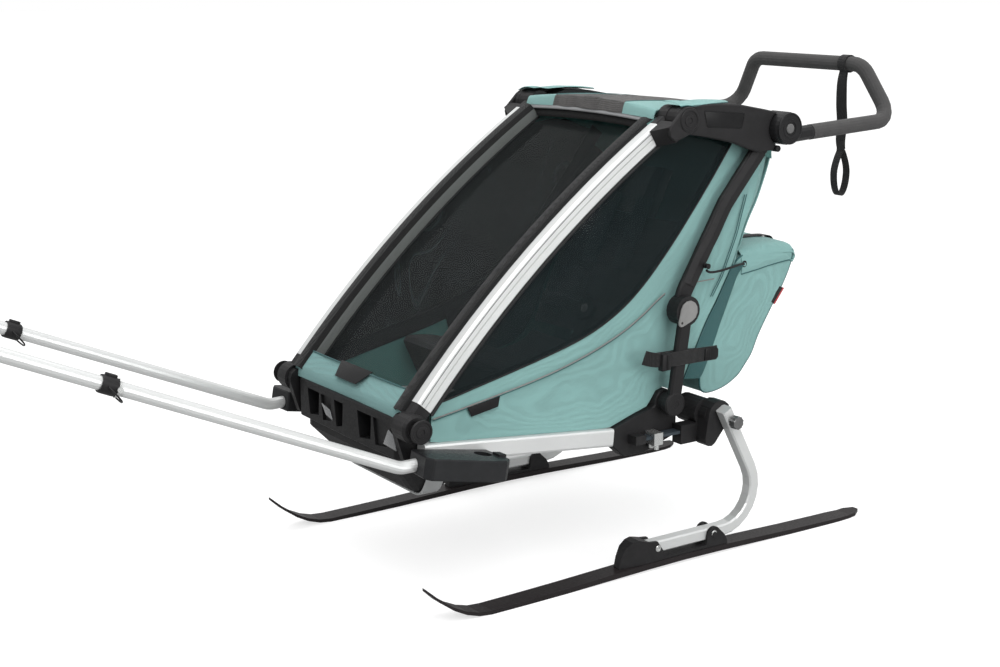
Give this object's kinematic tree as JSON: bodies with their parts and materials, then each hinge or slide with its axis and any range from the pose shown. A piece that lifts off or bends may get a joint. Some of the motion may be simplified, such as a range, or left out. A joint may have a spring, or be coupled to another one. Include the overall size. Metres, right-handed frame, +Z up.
{
  "type": "child ski trailer",
  "caption": "Folding child trailer on sprung skis, with tinted covers, a push handlebar, a rear cargo bag and two long pull poles.",
  "frame": {"origin": "centre of the footprint box, on the ground under the ski soles", "axes": "+Z up, -Y the way the trailer is pulled, +X the trailer's left side"},
  "size_m": [0.6752, 2.558, 0.971],
  "materials": {
    "silver": "satin anodised",
    "black_moulding": "fine grain, black",
    "grey_button": "mid grey",
    "foam": "soft foam grip",
    "webbing": "woven webbing",
    "teal_fabric": "coated weave, pale teal",
    "tinted_window": "dark mesh over clear film",
    "seat_fabric": "padded weave, dark grey",
    "ski_black": "smooth near black",
    "steel": "bright",
    "composite": "glass-fibre strip"
  },
  "bodies": {
    "chassis": {"bottom_rail_left": "silver", "bottom_rail_right": "silver", "pole_wing_left": "black_moulding", "pole_wing_right": "black_moulding", "rear_dropout_left": "black_moulding", "rear_dropout_right": "black_moulding", "pole_rear_left": "silver", "pole_rear_right": "silver", "pole_front_left": "silver", "pole_front_right": "silver", "side_panel_left": "teal_fabric", "side_panel_right": "teal_fabric", "front_bumper": "black_moulding", "footwell_tub": "black_moulding", "front_hoop": "silver", "rear_cross_tube": "silver", "front_cover": "tinted_window", "canopy": "teal_fabric", "back_panel": "teal_fabric", "seat": "seat_fabric", "harness": "webbing", "cargo_bag": "teal_fabric"},
    "front_frame": {"front_upright_left": "silver", "front_upright_right": "silver", "lower_casting_left": "black_moulding", "lower_casting_right": "black_moulding", "upper_casting_left": "black_moulding", "upper_casting_right": "black_moulding", "front_cross_tube": "silver"},
    "top_frame": {"side_moulding_left": "black_moulding", "side_moulding_right": "black_moulding", "rear_brace_left": "black_moulding", "rear_brace_right": "black_moulding"},
    "lower_links": {"lower_link_left": "black_moulding", "lower_link_right": "black_moulding"},
    "handlebar": {"handle_hub_left": "black_moulding", "handle_hub_right": "black_moulding", "handlebar_grip": "foam"},
    "axle": {"leaf_spring_left": "composite", "leaf_spring_right": "composite", "ski_arm_left": "silver", "ski_arm_right": "silver", "ski_left": "ski_black", "ski_right": "ski_black", "ski_mount_left": "black_moulding", "ski_mount_right": "black_moulding", "axle_beam": "black_moulding"},
    "wrist_strap_body": {"wrist_strap": "webbing"},
    "handle_button_left_body": {"handle_button_left": "grey_button"},
    "fold_lock_left_body": {"fold_lock_left": "grey_button"},
    "suspension_clamp_left_body": {"suspension_clamp_left": "steel"},
    "arm_knob_left_body": {"arm_knob_left": "black_moulding"},
    "lock_pin_left_body": {"lock_pin_left": "steel"},
    "wing_latch_left_body": {"wing_latch_left": "black_moulding"},
    "handle_button_right_body": {"handle_button_right": "grey_button"},
    "fold_lock_right_body": {"fold_lock_right": "grey_button"},
    "suspension_clamp_right_body": {"suspension_clamp_right": "steel"},
    "arm_knob_right_body": {"arm_knob_right": "black_moulding"},
    "lock_pin_right_body": {"lock_pin_right": "steel"},
    "wing_latch_right_body": {"wing_latch_right": "black_moulding"}
  },
  "joints": [
    {"name": "frame_fold", "type": "hinge", "parent": "chassis", "child": "front_frame", "pos_m": [0, 0.06935, 0.35], "axis": [1, 0, 0], "range_deg": [-26.9, 0], "deforming": ["canopy", "side_panel_left", "side_panel_right", "front_cover", "back_panel", "seat", "harness"]},
    {"name": "top_fold", "type": "hinge", "parent": "front_frame", "child": "top_frame", "pos_m": [0, 0.66935, 0.87], "axis": [1, 0, 0], "range_deg": [-43.3, 0.1]},
    {"name": "link_fold", "type": "hinge", "parent": "chassis", "child": "lower_links", "pos_m": [0, 0.65835, 0.31], "axis": [1, 0, 0], "range_deg": [-0.1, 69.7]},
    {"name": "handlebar_tilt", "type": "hinge", "parent": "top_frame", "child": "handlebar", "pos_m": [0, 0.92135, 0.842], "axis": [1, 0, 0], "range_deg": [-25, 100]},
    {"name": "wrist_strap_swing", "type": "hinge", "parent": "handlebar", "child": "wrist_strap_body", "pos_m": [0.12, 1.25135, 0.951], "axis": [1, 0, 0], "range_deg": [-60, 60]},
    {"name": "suspension", "type": "hinge", "parent": "chassis", "child": "axle", "pos_m": [0, 0.59135, 0.2477], "axis": [1, 0, 0], "range_deg": [0, 6], "stiffness_Nm_per_rad": 400, "springref_deg": -5.73},
    {"name": "handle_button_left_press", "type": "slide", "parent": "handlebar", "child": "handle_button_left_body", "axis": [-1, 0, 0], "range_m": [0, 0.004], "stiffness_N_per_m": 1500, "springref_m": -0.002},
    {"name": "fold_lock_left_turn", "type": "hinge", "parent": "lower_links", "child": "fold_lock_left_body", "pos_m": [0.27, 0.68535, 0.496], "axis": [1, 0, 0], "range_deg": [-60, 0]},
    {"name": "suspension_clamp_left_slide", "type": "slide", "parent": "axle", "child": "suspension_clamp_left_body", "axis": [0, 1, 0], "range_m": [-0.014, 0.048]},
    {"name": "arm_knob_left_turn", "type": "hinge", "parent": "axle", "child": "arm_knob_left_body", "pos_m": [0.33, 0.78441, 0.26272], "axis": [1, 0, 0], "continuous": true},
    {"name": "lock_pin_left_pull", "type": "slide", "parent": "chassis", "child": "lock_pin_left_body", "axis": [1, 0, 0], "range_m": [0, 0.032]},
    {"name": "wing_latch_left_press", "type": "slide", "parent": "chassis", "child": "wing_latch_left_body", "axis": [0, -0.1736, -0.9848], "range_m": [0, 0.004], "stiffness_N_per_m": 1500, "springref_m": -0.002},
    {"name": "handle_button_right_press", "type": "slide", "parent": "handlebar", "child": "handle_button_right_body", "axis": [1, 0, 0], "range_m": [0, 0.004], "stiffness_N_per_m": 1500, "springref_m": -0.002},
    {"name": "fold_lock_right_turn", "type": "hinge", "parent": "lower_links", "child": "fold_lock_right_body", "pos_m": [-0.27, 0.68535, 0.496], "axis": [1, 0, 0], "range_deg": [-60, 0]},
    {"name": "suspension_clamp_right_slide", "type": "slide", "parent": "axle", "child": "suspension_clamp_right_body", "axis": [0, 1, 0], "range_m": [-0.014, 0.048]},
    {"name": "arm_knob_right_turn", "type": "hinge", "parent": "axle", "child": "arm_knob_right_body", "pos_m": [-0.33, 0.78441, 0.26272], "axis": [1, 0, 0], "continuous": true},
    {"name": "lock_pin_right_pull", "type": "slide", "parent": "chassis", "child": "lock_pin_right_body", "axis": [-1, 0, 0], "range_m": [0, 0.032]},
    {"name": "wing_latch_right_press", "type": "slide", "parent": "chassis", "child": "wing_latch_right_body", "axis": [0, -0.1736, -0.9848], "range_m": [0, 0.004], "stiffness_N_per_m": 1500, "springref_m": -0.002}
  ],
  "couplings": [
    {"joint": "top_fold", "follows": "frame_fold", "ratio": 1.607},
    {"joint": "link_fold", "follows": "frame_fold", "ratio": -2.5879}
  ]
}
